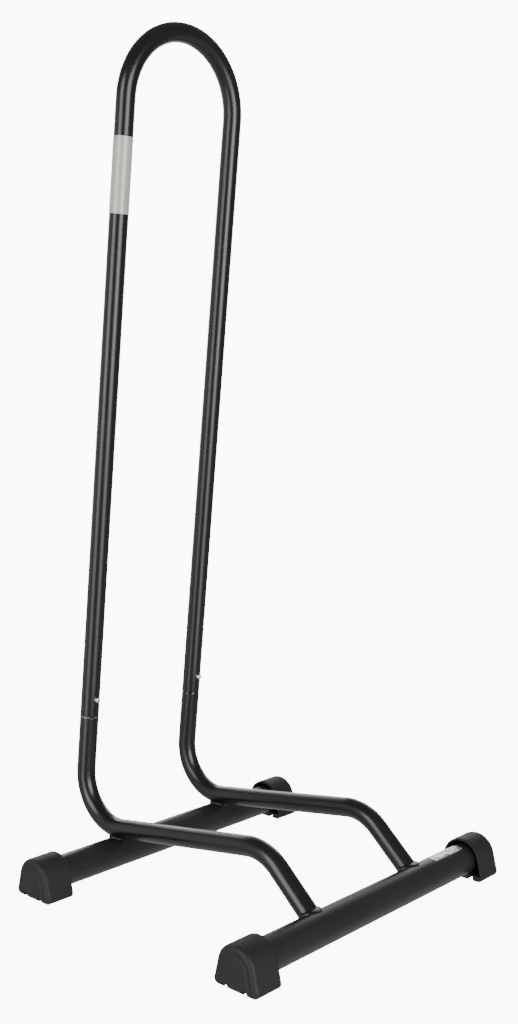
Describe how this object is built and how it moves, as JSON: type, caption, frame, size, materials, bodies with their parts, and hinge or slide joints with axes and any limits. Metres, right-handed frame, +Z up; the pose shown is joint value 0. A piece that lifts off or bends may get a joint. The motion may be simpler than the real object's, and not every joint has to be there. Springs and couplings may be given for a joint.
{
  "type": "floor bike rack",
  "caption": "Free-standing floor rack that holds one bicycle by a wheel: tall arched tube hoop on a bent lower frame with two cross tubes and moulded feet.",
  "frame": {"origin": "middle of the footprint box, on the floor under the feet", "axes": "+Z up; +X along the two base tubes, towards the right-hand feet seen from the front; +Y from the front base tube towards the rear base tube and the foot of the hoop; the snap buttons face -Y"},
  "size_m": [0.378, 0.3689, 0.8875],
  "materials": {
    "black_powder_coat": "gloss black powder coat on steel tube",
    "coated_weld": "gloss black powder coat over a steel weld bead",
    "foot_plastic": "fine-grained moulded plastic, dark grey",
    "zinc_plated_steel": "bright zinc plate on a turned steel pin",
    "spring_steel": "rolled spring steel leaf",
    "label_film": "satin film, bare, pale warm grey",
    "label_foil": "satin foil, bare, slightly creased"
  },
  "bodies": {
    "frame": {"hoop": "black_powder_coat", "lower_frame_left": "black_powder_coat", "lower_frame_right": "black_powder_coat", "base_tube_front": "black_powder_coat", "base_tube_rear": "black_powder_coat", "foot_front_left": "foot_plastic", "foot_front_right": "foot_plastic", "foot_rear_left": "foot_plastic", "foot_rear_right": "foot_plastic", "button_spring_left": "spring_steel", "rear_weld_left": "coated_weld", "front_weld_left": "coated_weld", "button_spring_right": "spring_steel", "rear_weld_right": "coated_weld", "front_weld_right": "coated_weld", "leg_label": "label_film", "base_label": "label_foil"},
    "left_button": {"snap_button_left": "zinc_plated_steel"},
    "right_button": {"snap_button_right": "zinc_plated_steel"}
  },
  "joints": [
    {"name": "left_button_press", "type": "slide", "parent": "frame", "child": "left_button", "axis": [0, 0.9942, 0.108], "range_m": [0, 0.0053], "stiffness_N_per_m": 1500, "springref_m": -0.004, "deforming": ["button_spring_left"]},
    {"name": "right_button_press", "type": "slide", "parent": "frame", "child": "right_button", "axis": [0, 0.9942, 0.108], "range_m": [0, 0.0053], "stiffness_N_per_m": 1500, "springref_m": -0.004, "deforming": ["button_spring_right"]}
  ]
}
